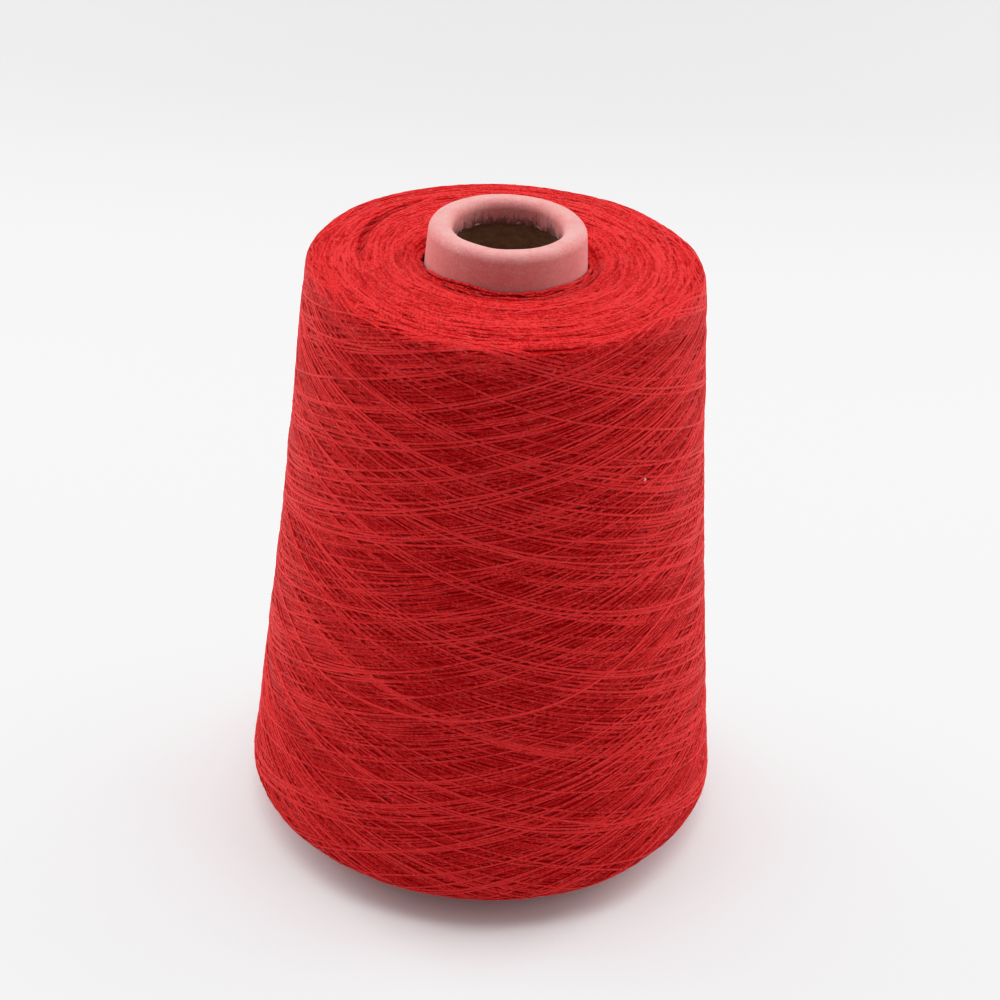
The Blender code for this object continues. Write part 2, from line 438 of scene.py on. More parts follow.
def make_paper_cone():
    random = np.random.default_rng(41)
    section = paper_section()
    points = turned_points(section, CONE_STEPS)
    turned_in, kraft = section[:, 2], section[:, 3]
    outward = points[..., :2] / np.linalg.norm(points[..., :2], axis=-1, keepdims=True)

    crimps = ring_noise(random, CONE_STEPS, 24, 76)
    folds = ring_noise(random, CONE_STEPS, 5, 14)
    depth = turned_in[:, None] * (CRIMP_DEPTH * crimps + 0.5 * CRIMP_DEPTH * folds)
    nose = np.clip((section[:, 1] - NOSE_FOOT) / NOSE_FADE, 0, 1) * (kraft < 0.2)
    slump = NOSE_SLUMP * ring_noise(random, CONE_STEPS, 2, 5)
    depth = depth + nose[:, None] * slump
    points[..., :2] += outward * depth[..., None]

    ragged = CUT_RAGGEDNESS * (ring_noise(random, CONE_STEPS, 6, 30)
                               + 0.9 * ring_noise(random, CONE_STEPS, 60, 150))
    cut = np.clip((turned_in - 0.75) / 0.25, 0, 1)
    points[..., 2] += cut[:, None] * ragged
    angles = np.degrees(np.linspace(0, math.tau, CONE_STEPS, endpoint=False))
    bits = sum(np.exp(-((angles - place) / width) ** 2) for place, width in TORN_BITS)
    torn = bits * np.clip((turned_in - 0.86) / 0.1, 0, 1)[:, None] * (kraft < 0.9)[:, None]
    points[..., 2] += TORN_LENGTH * torn
    rough = np.exp(-((angles - ROUGH_LIP[0]) / ROUGH_LIP[1]) ** 2)
    rough = rough * np.abs(ring_noise(random, CONE_STEPS, 50, 140)) * (turned_in > 0.02)[:, None]
    points[..., :2] -= outward * (ROUGH_DEPTH * rough)[..., None]
    crest = np.clip((section[:, 1] - (CONE_LENGTH - LIP_ROUNDING)) / LIP_ROUNDING, 0, 1)
    points[..., 2] += crest[:, None] * CREST_UNEVENNESS * ring_noise(random, CONE_STEPS, 3, 12)

    faces = ring_faces(len(section), CONE_STEPS)
    mesh = mesh_from("cone_paper", points.reshape(-1, 3), [faces], paper_finish())
    note_on_points(mesh, "turned_in", np.repeat(turned_in, CONE_STEPS))
    note_on_points(mesh, "kraft", np.repeat(kraft, CONE_STEPS))
    note_on_points(mesh, "lip_crest", np.repeat(crest * (kraft < 0.2), CONE_STEPS))
    note_on_points(mesh, "torn", torn)
    return add_to_scene("cone_paper", mesh)


cone_paper = make_paper_cone()
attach(cone_paper, "root")
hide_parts("paper_cone")


# ------------------------------------------------------------------- how the yarn is wound
# The winding is one length of soft spun yarn, pressed to 0.8 mm wide where it lies and held by
# its own crossing turns. The pile keeps the height of what has been laid at each place, so that
# every new strand rides over those below it.
YARN_WIDTH = 0.00080
YARN_THICKNESS = 0.00056
LAYER = 0.00038               # what the middle of a strand adds to the pile
NESTING = 0.00012             # how far the edges of a strand sink in beside another
WINDING_FOOT = 0.0050
WINDING_EDGE = 0.1601
SIDE_LOW_RADIUS = 0.0635
SIDE_TOP_RADIUS = 0.0490
BOTTOM_ROUND_WIDTH = 0.0120
BOTTOM_ROUND_HEIGHT = 0.0070
BOTTOM_STEPS = 40
SIDE_HOLLOW = 0.0007          # the side is this much hollow at half height
TOP_ROUNDING = 0.0020
TOP_STEPS = 14
SEAT_GAP = 0.0003
TOP_FACE = (
    # distance from the paper, height
    (0.0228, 0.1607), (0.0202, 0.1610), (0.0176, 0.1612), (0.0150, 0.1613),
    (0.0124, 0.1614), (0.0098, 0.1615), (0.0072, 0.1615), (0.0046, 0.1613),
    (0.0028, 0.1603), (0.0014, 0.1580), (0.0000, 0.1572),
)
ROW = 0.0002                  # along the section, underside to side to top
CELLS = 960                   # round the package
END_ROWS = 4                  # rows that a strand's middle keeps off each end of the section

# Every later random draw comes from this one, in the order of the script.
random = np.random.default_rng(7)


def seat(height):
    return paper_radius(height) + SEAT_GAP


def arc(centre_radius, centre_height, width, height, first, last, steps):
    turns = np.radians(np.linspace(first, last, steps))
    return [(centre_radius + width * math.cos(turn), centre_height + height * math.sin(turn))
            for turn in turns]


def crown_line():
    """Radius and height of the crowns, from the paper at the foot to the paper at the top."""
    side_low = WINDING_FOOT + BOTTOM_ROUND_HEIGHT
    side_top = WINDING_EDGE - TOP_ROUNDING
    line = [(seat(WINDING_FOOT), WINDING_FOOT)]
    line += arc(SIDE_LOW_RADIUS - BOTTOM_ROUND_WIDTH, side_low, BOTTOM_ROUND_WIDTH,
                BOTTOM_ROUND_HEIGHT, -90, 0, BOTTOM_STEPS)
    line += arc(SIDE_TOP_RADIUS - TOP_ROUNDING, side_top, TOP_ROUNDING, TOP_ROUNDING, 0, 90,
                TOP_STEPS)
    line += [(seat(height) + distance, height) for distance, height in TOP_FACE]
    return np.array(line)


crowns = crown_line()
along = np.concatenate([[0], np.cumsum(np.hypot(*np.diff(crowns, axis=0).T))])
row_places = np.arange(0, along[-1], ROW)
row_count = len(row_places)
row_radius = np.interp(row_places, along, crowns[:, 0])
row_height = np.interp(row_places, along, crowns[:, 1])
side_start, side_end = along[BOTTOM_STEPS], along[BOTTOM_STEPS + 1]
low_edge = (along[1] / ROW, side_start / ROW)      # rows of the rounded bottom edge
top_edge = (side_end / ROW, along[BOTTOM_STEPS + TOP_STEPS] / ROW)      # and of the top edge
plain_side = slice(int(low_edge[1]), int(top_edge[0]))                  # and between the two
up_the_side = np.clip((row_places - side_start) / (side_end - side_start), 0.0, 1.0)
row_radius -= SIDE_HOLLOW * np.sin(math.pi * up_the_side)


def carried_on(line, reach):
    """A line with its two end values carried on by half a reach."""
    return np.concatenate([np.full(reach // 2, line[0]), line, np.full(reach // 2, line[-1])])


def evened(line, reach):
    """A running mean over an odd number of places."""
    return np.convolve(carried_on(line, reach), np.ones(reach) / reach, "valid")


def windowed_highest(line, reach):
    """The highest of an odd number of places round each one."""
    return np.lib.stride_tricks.sliding_window_view(carried_on(line, reach), reach).max(-1)


# The way out of the plain form at each row, as its parts across and up.
facing = np.stack([np.gradient(evened(row_height, 9)), -np.gradient(evened(row_radius, 9))], 1)
facing /= np.linalg.norm(facing, axis=1, keepdims=True)
# How far up the section each row lies, in radii: a coil of constant angle climbs evenly in it.
climb = np.concatenate([[0], np.cumsum(ROW / (0.5 * (row_radius[1:] + row_radius[:-1])))])

pile = np.zeros((CELLS, row_count), np.float32)
laid = []                     # first cell, path, top, tone, fullness of each strand


def rows_covered(fullness):
    """The rows a strand lies over, and how much of its roundness is left at each."""
    half = 0.5 * YARN_WIDTH * fullness / ROW
    beside = np.arange(-int(half), int(half) + 1)
    return beside, np.sqrt(1.0 - (beside / half) ** 2)


def places_along(first_cell, path):
    """The cell and the nearest row at each step of a strand's path."""
    cells = (first_cell + np.arange(len(path))) % CELLS
    return cells, np.clip(np.rint(path).astype(int), END_ROWS, row_count - 1 - END_ROWS)


def lay_strand(first_cell, path, tone, fullness=1.0, tuck=0.0008, tuck_cells=30):
    """Lays one strand along rows of the section, a cell at a time, and tucks its ends in."""
    count = len(path)
    cells, middle = places_along(first_cell, path)
    under = np.zeros(count)
    for beside, roundness in zip(*rows_covered(fullness)):
        under = np.maximum(under, pile[cells, middle + beside] - NESTING * (1.0 - roundness))
    # The strand is springy: it bridges the dips, and sags a little way into the wide ones.
    rest = evened(evened(windowed_highest(under, 13), 9), 7)
    rest = 0.75 * rest + 0.25 * evened(evened(under, 9), 9)
    from_end = np.minimum(np.arange(count), np.arange(count)[::-1]) / tuck_cells
    rest = rest - tuck * (1.0 - np.clip(from_end, 0, 1)) ** 2
    for beside, roundness in zip(*rows_covered(fullness)):
        top = rest + LAYER * (0.5 + 0.5 * roundness)
        np.maximum.at(pile, (cells, middle + beside), top.astype(np.float32))
    laid.append((first_cell, path, rest + LAYER, tone, fullness))


def softly(size, reach, spread):
    """A slow random wander, evened over a reach of places, with a given spread."""
    line = evened(evened(random.normal(0, 1, size), reach), reach)
    return spread * line / (line.std() + 1e-9)


# ---------------------------------------------------------------------------- yarn on the ends
# Where the yarn turns back at the two ends, slack turns lie round the top face and the
# underside, each showing for one to four centimetres before it dips under its neighbours.
TOP_TURNS = (0.0204, 0.0474)            # inner and outer radius
TOP_TURNS_COVER = 8.0                   # how many times over they cover the face
UNDERSIDE_TURNS = (0.0420, 0.0535)
UNDERSIDE_COVER = 1.6
END_TURN_LENGTH = (0.010, 0.040)
END_TURN_LEAN = 3.2                     # degrees
END_TURN_WANDER = 0.00030
END_TURN_TONE = (0.38, 0.17)            # mean and spread; 0 is the deepest red, 1 the brightest
END_TURN_FULLNESS = (1.2, 1.6)          # slack yarn is fuller than the tight yarn of the side


def row_on_top(radius):
    first = int(top_edge[1])
    return first + np.interp(-radius, -row_radius[first:], np.arange(row_count - first))


def row_on_underside(radius):
    return (radius - crowns[0, 0]) / ROW


def lay_end_turns(inner, outer, row_of, cover):
    """Short level turns between two radii, laid until they cover that face often enough."""
    area = math.pi * (outer ** 2 - inner ** 2)
    laid_area = 0.0
    while laid_area < cover * area:
        radius = math.sqrt(random.uniform(inner ** 2, outer ** 2))
        reach = random.uniform(*END_TURN_LENGTH) / radius
        count = max(int(reach / math.tau * CELLS), 40)
        lean = math.tan(math.radians(random.normal(0, END_TURN_LEAN)))
        lean = lean * math.tau / CELLS * radius / ROW
        path = row_of(radius) + lean * (np.arange(count) - count / 2)
        path = path + softly(count, 21, END_TURN_WANDER / ROW)
        path = np.clip(path, *sorted((row_of(inner), row_of(outer))))
        tone = random.normal(*END_TURN_TONE)
        fullness = random.uniform(*END_TURN_FULLNESS)
        lay_strand(int(random.integers(CELLS)), path, tone, fullness, tuck=0.0011,
                   tuck_cells=max(count // 4, 12))
        laid_area += reach * radius * YARN_WIDTH * fullness


lay_end_turns(*TOP_TURNS, row_on_top, TOP_TURNS_COVER)
lay_end_turns(*UNDERSIDE_TURNS, row_on_underside, UNDERSIDE_COVER)


# --------------------------------------------------------------------------- yarn on the side
# The coils climb and fall round the package at about 17 degrees, a few strands lying side by
# side at a time, and turn back near its two edges.
SIDE_COVER = 5.5                        # how many times over the coils cover the side
STEADY_SHARE = 0.82                     # of the bands of coils; the others stray
STEADY_ANGLE = (16.9, 1.5)              # mean and spread, degrees
STRAY_ANGLE = (10.0, 22.5)
GOLDEN_SHARE = 0.38196601               # of a turn, which spreads the starts of the bands evenly
START_SPREAD = 0.25                     # radians
BOTTOM_TURNING = (-0.0020, 0.0070)      # where bands turn back, up from the start of an edge
TOP_TURNING = (-0.0012, 0.0060)
TURN_BACK = (8, 16)                     # degrees round the package that a coil takes for it
BAND_STRANDS = (2, 8)                   # from the first number up to, but not, the second
BAND_SPACING = (0.00100, 0.00185)       # from one strand of a band to the next
BAND_RADIUS = 0.056                     # where the spacing is as stated
BAND_TONE = (0.45, 0.17)                # mean and spread
STRAND_TONE_SPREAD = 0.09
STRAND_TURNING_SPREAD = 0.0005
STRAND_ANGLE_SPREAD = 0.10              # degrees
STRAND_START_SPREAD = 0.006             # radians
COIL_WANDER = 0.0046                    # in the measure of climb
MEAN_SIDE_RADIUS = 0.0565


def coil_angle():
    steady = random.random() < STEADY_SHARE
    return math.radians(random.normal(*STEADY_ANGLE) if steady else random.uniform(*STRAY_ANGLE))


def turning_row(edge, distances):
    """The row where a band turns back, at a random distance up from the start of an edge."""
    return random.uniform(*(edge[0] + np.array(distances) / ROW))


def climb_at(row):
    return np.interp(row, np.arange(row_count), climb)


def coil_path(low_row, top_row, up, down):
    """Up from the bottom edge to the top edge and down again, with rounded turns."""
    low, top = climb_at(low_row), climb_at(top_row)
    step = math.tau / CELLS
    rise = (top - low) / math.tan(up)
    fall = (top - low) / math.tan(down)
    swept = (np.arange(int((rise + fall) / step)) + 0.5) * step
    line = np.where(swept < rise, low + swept * math.tan(up),
                    top - (swept - rise) * math.tan(down))
    line = line + softly(len(line), 61, COIL_WANDER)
    reach = int(math.radians(random.uniform(*TURN_BACK)) / step) | 1
    return np.interp(evened(line, reach), climb, np.arange(row_count))


def lay_side_coils():
    """Bands of strands, each up to the top edge and back, until they cover the side."""
    area = math.tau * ROW * row_radius[int(low_edge[0]):int(top_edge[1])].sum()
    laid_area = 0.0
    start = 0.0
    while laid_area < SIDE_COVER * area:
        start += GOLDEN_SHARE * math.tau + random.normal(0, START_SPREAD)
        up, down = coil_angle(), coil_angle()
        spacing = random.uniform(*BAND_SPACING)
        low_row = turning_row(low_edge, BOTTOM_TURNING)
        top_row = turning_row(top_edge, TOP_TURNING)
        band_tone = random.normal(*BAND_TONE)
        for strand in range(random.integers(*BAND_STRANDS)):
            low_row += random.normal(0, STRAND_TURNING_SPREAD / ROW)
            top_row += random.normal(0, STRAND_TURNING_SPREAD / ROW)
            strand_up = up + math.radians(random.normal(0, STRAND_ANGLE_SPREAD))
            strand_down = down + math.radians(random.normal(0, STRAND_ANGLE_SPREAD))
            path = coil_path(low_row, top_row, strand_up, strand_down)
            shift = strand * spacing / (BAND_RADIUS * math.sin(up))
            shift += random.normal(0, STRAND_START_SPREAD)
            first_cell = int((start + shift) / math.tau * CELLS)
            lay_strand(first_cell, path, band_tone + random.normal(0, STRAND_TONE_SPREAD))
            laid_area += (len(path) * math.tau / CELLS * MEAN_SIDE_RADIUS / math.cos(up)
                          * YARN_WIDTH)


lay_side_coils()

# A few single strands lie loose over the rest, and one of them has slipped: it sags across the
# front, below half height, and climbs away on both sides. It is painted brighter than any other
# strand, painted light for a strand that rides over the rest.
LOOSE_STRANDS = 18
LOOSE_ANGLE = (12.0, 21.0)
LOOSE_BOTTOM_TURNING = (0.0, 0.0060)
LOOSE_TOP_TURNING = (-0.0010, 0.0040)
LOOSE_TONE = (0.45, 0.80)
# Painted light: the slipped strand is made brighter than any other, as it rides over the rest.
SLIPPED_PAINTED_LIGHT = 1.30
SLIPPED_FULLNESS = 1.3
SLIPPED_STRAND = (
    # degrees to the right of the front, height
    (-205, 0.1080), (-150, 0.0960), (-105, 0.0820), (-66, 0.0710), (-45, 0.0623), (-26, 0.0609),
    (-5, 0.0625), (15, 0.0660), (31, 0.0716), (47, 0.0797), (75, 0.0920), (105, 0.1060),
    (140, 0.1200),
)


def lay_loose_strands():
    for _ in range(LOOSE_STRANDS):
        low_row = turning_row(low_edge, LOOSE_BOTTOM_TURNING)
        top_row = turning_row(top_edge, LOOSE_TOP_TURNING)
        angles = np.radians(random.uniform(*LOOSE_ANGLE, 2))
        path = coil_path(low_row, top_row, *angles)
        lay_strand(int(random.integers(CELLS)), path, random.uniform(*LOOSE_TONE))


def lay_slipped_strand():
    knots = np.array(SLIPPED_STRAND)
    steps = np.arange(math.radians(knots[0, 0]), math.radians(knots[-1, 0]), math.tau / CELLS)
    heights = evened(np.interp(steps, np.radians(knots[:, 0]), knots[:, 1]), 41)
    path = np.interp(heights, row_height[plain_side], np.arange(plain_side.start, plain_side.stop))
    first_cell = int(round((steps[0] - 0.5 * math.pi) / math.tau * CELLS))
    lay_strand(first_cell, path, SLIPPED_PAINTED_LIGHT, SLIPPED_FULLNESS, tuck=0.0012, tuck_cells=60)


lay_loose_strands()
lay_slipped_strand()


# --------------------------------------------------------------------------- yarn wound tight
# The tension of the winding presses the yarn together, so that its crowns come level and only
# a fine relief is left. On the top face the slack yarn fills the hollow in front of the nose,
# and leaves one deep groove at the back left.
EVENED_ROUND = 18             # cells over which the tension evens the pile
EVENED_ACROSS = 13            # and rows
RELIEF = (0.00008, 0.00016)   # how uneven tight yarn stays: on the ends, the side
LIFT = (0.00012, 0.00020)     # how far it stands above the plain form: on the ends, the side
SLOW_WAVES = 0.00010          # how far the whole surface wavers
SIDE_FADE = 30                # rows over which the side turns into the top edge
MOST_SUNKEN = 2.6
SLACK_GROOVE = (math.radians(205), math.radians(118))      # from and to, turned from the right
SLACK_GROOVE_RADII = (0.0340, 0.0395)
SLACK_GROOVE_WIDTH = 0.0024
SLACK_GROOVE_DEPTH = 0.0019
HOLLOW_WIDTH = 0.0042         # from the paper, of the hollow round the nose
HOLLOW_FILL_IN_FRONT = 0.0047
ABOVE_UNDERSIDE = 0.150       # yarn near the paper and higher than this is on the top face


def blurred_round(field, cells):
    """Evened round the package, where the last cell meets the first."""
    waves = np.fft.rfftfreq(CELLS)
    weight = np.exp(-2.0 * (math.pi * waves * cells) ** 2)
    return np.fft.irfft(np.fft.rfft(field, axis=0) * weight[:, None], CELLS, axis=0)


def blurred_across(field, rows):
    """Evened along the section, mirrored at its two ends."""
    mirrored = np.concatenate([field, field[:, ::-1]], axis=1)
    waves = np.fft.rfftfreq(mirrored.shape[1])
    weight = np.exp(-2.0 * (math.pi * waves * rows) ** 2)
    evened_field = np.fft.irfft(np.fft.rfft(mirrored, axis=1) * weight, mirrored.shape[1], axis=1)
    return evened_field[:, :field.shape[1]]


def blurred(field, cells, rows):
    return blurred_across(blurred_round(field, cells), rows)


on_side = np.interp(np.arange(row_count),
                    (low_edge[0], low_edge[1], top_edge[0] - SIDE_FADE, top_edge[0]), (0, 1, 1, 0))


def ends_to_side(on_ends, on_the_side):
    """A value for each row, between what it is on the ends and on the side."""
    return on_ends + (on_the_side - on_ends) * on_side


even_pile = blurred(pile, EVENED_ROUND, EVENED_ACROSS)
pile_spread = np.sqrt(blurred((pile - even_pile) ** 2, EVENED_ROUND, EVENED_ACROSS)) + 0.2 * LAYER
unevenness = blurred(random.normal(0, 1, pile.shape), 22, 26)
unevenness *= SLOW_WAVES / unevenness.std()
relief = ends_to_side(*RELIEF)
lift = ends_to_side(*LIFT)


def sunken(cells, rows, top):
    """How far a strand lies down in the pile: about -2 for the highest and 2 for the lowest."""
    depth = (even_pile[cells, rows] - top) / pile_spread[cells, rows]
    return MOST_SUNKEN * np.tanh(depth / MOST_SUNKEN)


def tightened(cells, rows, top):
    """Depth of a strand's top below the plain form, once the package is wound tight."""
    return relief[rows] * sunken(cells, rows, top) - lift[rows] + unevenness[cells, rows]


def smooth_step(value):
    value = np.clip(value, 0.0, 1.0)
    return value * value * (3.0 - 2.0 * value)


def filled_in_front(azimuth, radius, height):
    """1 where the yarn in front of the nose fills the hollow to the paper, falling to 0."""
    distance = radius - paper_radius(height)
    fill = smooth_step(0.5 - 0.5 * np.sin(azimuth)) * (1.0 - smooth_step(distance / HOLLOW_WIDTH))
    return np.where(height > ABOVE_UNDERSIDE, fill, 0.0)


def end_face_lift(azimuth, radius, height):
    """Height that the one deep groove takes away and the filled hollow in front adds."""
    along_groove = (azimuth % math.tau - SLACK_GROOVE[0]) / (SLACK_GROOVE[1] - SLACK_GROOVE[0])
    inside = (along_groove > 0) & (along_groove < 1)
    line = SLACK_GROOVE_RADII[0] + (SLACK_GROOVE_RADII[1] - SLACK_GROOVE_RADII[0]) * along_groove
    groove = SLACK_GROOVE_DEPTH * np.sin(math.pi * np.clip(along_groove, 0, 1)) * inside
    groove = groove * (1.0 - smooth_step(np.abs(radius - line) / SLACK_GROOVE_WIDTH))
    fill = HOLLOW_FILL_IN_FRONT * filled_in_front(azimuth, radius, height)
    return fill - np.where(height > ABOVE_UNDERSIDE, groove, 0.0)


def points_at(azimuth, row, depth):
    """Points below the crowns by a depth, and the way out of the package there."""
    rows = np.arange(row_count)
    out_radius = np.interp(row, rows, facing[:, 0])
    out_height = np.interp(row, rows, facing[:, 1])
    radius = np.interp(row, rows, row_radius) - depth * out_radius
    height = np.interp(row, rows, row_height) - depth * out_height
    # Yarn that fills the hollow lies level, so its way out is straight up.
    level = np.sqrt(filled_in_front(azimuth, radius, height))
    out_radius = out_radius * (1.0 - level)
    out_height = out_height * (1.0 - level) + level
    height = height + end_face_lift(azimuth, radius, height)
    spot = np.stack([radius * np.cos(azimuth), radius * np.sin(azimuth), height], -1)
    way = np.stack([out_radius * np.cos(azimuth), out_radius * np.sin(azimuth), out_height], -1)
    return spot, way


# -------------------------------------------------------------------------------- packed yarn
# Under the strands that show, the rest of the yarn is pressed into one body round the paper. It
# keeps just below the lowest strands, and lies deeper in the hollow beside and behind the nose.
# Its red is darker than that of the strands: painted shade for the gaps and hollows where it shows.
PACKED_BELOW = 0.00025
PACKED_CELL_STEP = 5
PACKED_ROW_STEP = 7
HOLLOW_DEPTH = 0.0055
PAPER_CLEARANCE = 0.0001
PACKED_RELIEF = 0.0003
# Both are painted shade, darker than the strands, for the gaps where the packed yarn shows.
PACKED_SHADED_DEEP = (0.40, 0.0008, 0.0024)
PACKED_SHADED_LIGHT = (0.60, 0.0022, 0.0040)


def packed_finish():
    yarn = Finish("red_yarn_packed_shaded", Roughness=0.9, Specular_IOR_Level=0.1)
    strands = yarn.noise(yarn.stretched(yarn.place(), (1.0, 1.0, 7.0)), 260.0, roughness=0.6)
    tone = yarn.mixed(strands.within(0.3, 0.7), colour(*PACKED_SHADED_DEEP), colour(*PACKED_SHADED_LIGHT))
    yarn.paint(tone, strands, PACKED_RELIEF)
    return yarn.material


def deepest_nearby(depth):
    """For each place, the greatest depth up to four cells and six rows away."""
    depth = np.max([np.roll(depth, shift, 0) for shift in (-4, -2, 0, 2, 4)], axis=0)
    carried = np.pad(depth, ((0, 0), (6, 6)), "edge")
    return np.lib.stride_tricks.sliding_window_view(carried, 13, axis=1).max(-1)


def make_packed_yarn():
    every_cell, every_row = np.ogrid[:CELLS, :row_count]
    depth = deepest_nearby(tightened(every_cell, every_row, pile))
    depth = blurred(depth, 4, 3) + PACKED_BELOW
    cells = np.arange(0, CELLS, PACKED_CELL_STEP)
    rows = np.append(np.arange(0, row_count - 1, PACKED_ROW_STEP), row_count - 1)
    azimuth, row = np.meshgrid(cells * math.tau / CELLS, rows)
    spot, _ = points_at(azimuth, row, depth[cells][:, rows].T)
    radius = np.linalg.norm(spot[..., :2], axis=-1)
    beside_paper = 1.0 - smooth_step((radius - paper_radius(spot[..., 2])) / HOLLOW_WIDTH)
    beside_paper *= spot[..., 2] > ABOVE_UNDERSIDE
    not_in_front = 1.0 - smooth_step(0.5 - 0.7 * np.sin(azimuth))
    spot[..., 2] -= HOLLOW_DEPTH * beside_paper * not_in_front
    least = paper_radius(spot[..., 2]) + PAPER_CLEARANCE
    spot[..., :2] *= (np.maximum(radius, least) / radius)[..., None]
    faces = ring_faces(len(rows), len(cells))
    mesh = mesh_from("yarn_packed", spot.reshape(-1, 3), [faces], packed_finish())
    return add_to_scene("yarn_packed", mesh)


yarn_packed = make_packed_yarn()
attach(yarn_packed, "root")
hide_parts("yarn_winding")


# --------------------------------------------------------------------- the strands that show
# Only the stretches of yarn that show are made, each a closed tube whose ends dip into the
# pile. The yarn has painted light and shade in its colour: a painted highlight, bright and pale
# along its crown, and painted shade down its flanks, with its twist and the hairs of its fibres
# showing. Painted shade darkens it where it lies low in the pile and in the low patches between
# the bands, and painted light brightens it where it lies highest.
NODE_CELLS = 10               # cells from one ring of a strand to the next
STRAND_SIDES = 5
STRAND_SECTION = np.radians((0.0, 42.0, 90.0, 138.0, 180.0))   # over the crown, side to side
AROUND = np.array((0.2, 0.34, 0.5, 0.66, 0.8, 1.2))            # how far round each corner lies
MOST_TRIANGLES = 190_000      # in one piece
END_DIP = 0.00040
NAP = (0.40, 0.30)            # how far the nap evens out the light: on the ends, the side
# Painted shade for strands low in the pile and in its low patches, painted light for the highest:
SUNK_PAINTED_SHADE = 0.09            # how much tone a strand loses down in the pile
PATCH_PAINTED_SHADE = (0.13, 0.42)   # and in a low patch of it: on the ends, the side
DARKEST_TONE = 0.14           # light enough for the hairs still to show
TWIST_PITCH = 1.8             # millimetres of yarn for one turn of twist
WALLS_SHARE = 0.86            # of a segment's place on the sheet; its caps have the rest
CLOUD_TONE = 0.60             # how much tone the slow changes along the yarn give and take
# The crown of the yarn is painted lighter than its flanks, a painted highlight:
CROWN_PAINTED_LIGHT = 0.7              # and its crown against its flanks
HAIR_TONE = (2.8, 5.0)        # and its hairs: on tight yarn, and how much more with its slack
# The next three set the painted shade down the flanks of a strand.
HAIR_FLANK_SHADE = (1.0, 2.0)       # how far hairs break the edge of the dark flank, in the same way
SLACK_FLANK_SHADE = 0.35
FLANK_SHADE_REACH = (0.32, 1.10)
YARN_RELIEF = 0.00012
# The bright colour is the yarn's own bright red and a painted highlight, pale along the crowns.
YARN_BRIGHT_AND_HIGHLIGHT = (0.76, 0.0285, 0.0310)
# The deep colour is the yarn's own deep red and the painted shade low in the pile.
YARN_DEEP_AND_SHADED = (0.42, 0.0004, 0.0016)
# Painted shade down the flanks of each strand:
YARN_FLANK_SHADE = (0.38, 0.0002, 0.0010)

# Painted shade in the low patches of the pile, and painted light on its high ones.
patch_painted_shade = (even_pile - blurred(pile, 5, 4)) / pile_spread
patch_painted_shade *= ends_to_side(*PATCH_PAINTED_SHADE)
nap_of_row = ends_to_side(*NAP)


def rings_that_show(cells, middle, top, fullness):
    """Which rings of a strand show, or lie beside one that does."""
    seen = np.zeros(len(cells), bool)
    for beside, roundness in zip(*rows_covered(fullness)):
        strand_top = top - 0.5 * LAYER * (1.0 - roundness)
        seen |= pile[cells, middle + beside] <= strand_top + 0.05 * LAYER
    near_ring = windowed_highest(seen.astype(float), NODE_CELLS + 1)[::NODE_CELLS] > 0
    return windowed_highest(near_ring.astype(float), 3) > 0


def stretches_that_show():
    """Cuts each laid strand to its visible stretches: places, ways out, naps, tones, fullness."""
    shown = []
    for first_cell, path, top, tone, fullness in laid:
        cells, middle = places_along(first_cell, path)
        rings = np.arange(0, len(path), NODE_CELLS)
        ring_seen = rings_that_show(cells, middle, top, fullness)
        edges = np.flatnonzero(np.diff(np.concatenate([[0], ring_seen.astype(int), [0]])))
        for begin, end in zip(edges[::2], edges[1::2]):
            if end - begin < 3:
                continue
            picked = rings[begin:end]
            here = (cells[picked], middle[picked])
            depth = tightened(*here, top[picked]) + 0.5 * YARN_THICKNESS
            depth[0] += END_DIP
            depth[-1] += END_DIP
            # Painted shade and light: the tone falls the lower a strand lies in the pile and in a
            # patch.
            shade = SUNK_PAINTED_SHADE * sunken(*here, top[picked]) + patch_painted_shade[here]
            azimuth = (first_cell + picked) * math.tau / CELLS
            spot, way = points_at(azimuth, path[picked], depth)
            nap = nap_of_row[middle[picked], None]
            shown.append((spot, way, nap * way, np.maximum(tone - shade, DARKEST_TONE),
                          np.full(len(picked), fullness)))
    return shown


def keep_map(mesh, name, wall_places, cap_places):
    layer = mesh.uv_layers.new(name=name)
    places = np.concatenate([wall_places.ravel(), cap_places.ravel()])
    layer.data.foreach_set("uv", places.astype(np.float32))


def corners_of_walls(left, lower, right, upper):
    """Where the four corners of each wall lie on a map, in the order of its face."""
    left, lower, right, upper = np.broadcast_arrays(left, lower, right, upper)
    return np.stack([left, lower, right, lower, right, upper, left, upper], -1)


def lay_of_yarn(travelled, segments, ends):
    """The map of millimetres along the yarn and share of the way round it: walls, caps."""
    walls = corners_of_walls(travelled[segments, None], AROUND[None, :-1],
                             travelled[segments + 1, None], AROUND[None, 1:])
    along_caps = np.repeat(travelled[ends], STRAND_SIDES)
    return walls, np.stack([along_caps, np.full(len(along_caps), 0.5)], -1)


def sheet_of_faces(segments, firsts, lasts):
    """The map that gives every face a place of its own, with no two on each other: walls, caps."""
    columns = max(int(math.sqrt(len(segments) / 3.0)), 1)
    cell_rows = -(-len(segments) // columns)
    left = (np.arange(len(segments)) % columns)[:, None] / columns
    bottom = (np.arange(len(segments)) // columns)[:, None] / cell_rows
    side = np.arange(STRAND_SIDES)[None, :]
    lower = bottom + WALLS_SHARE * (side / STRAND_SIDES) / cell_rows
    upper = bottom + WALLS_SHARE * ((side + 1) / STRAND_SIDES) / cell_rows
    walls = corners_of_walls(left, lower, left + 1.0 / columns, upper)

    home = np.concatenate([np.searchsorted(segments, firsts),
                           np.searchsorted(segments, lasts - 1)])
    shift = np.repeat([0.2, 0.8], len(firsts))
    turn = np.arange(STRAND_SIDES) * math.tau / STRAND_SIDES
    across = (home % columns + shift)[:, None] + 0.12 * np.cos(turn)
    up = (home // columns + 0.93)[:, None] + 0.04 * np.sin(turn)
    return walls, np.stack([across / columns, up / cell_rows], -1)


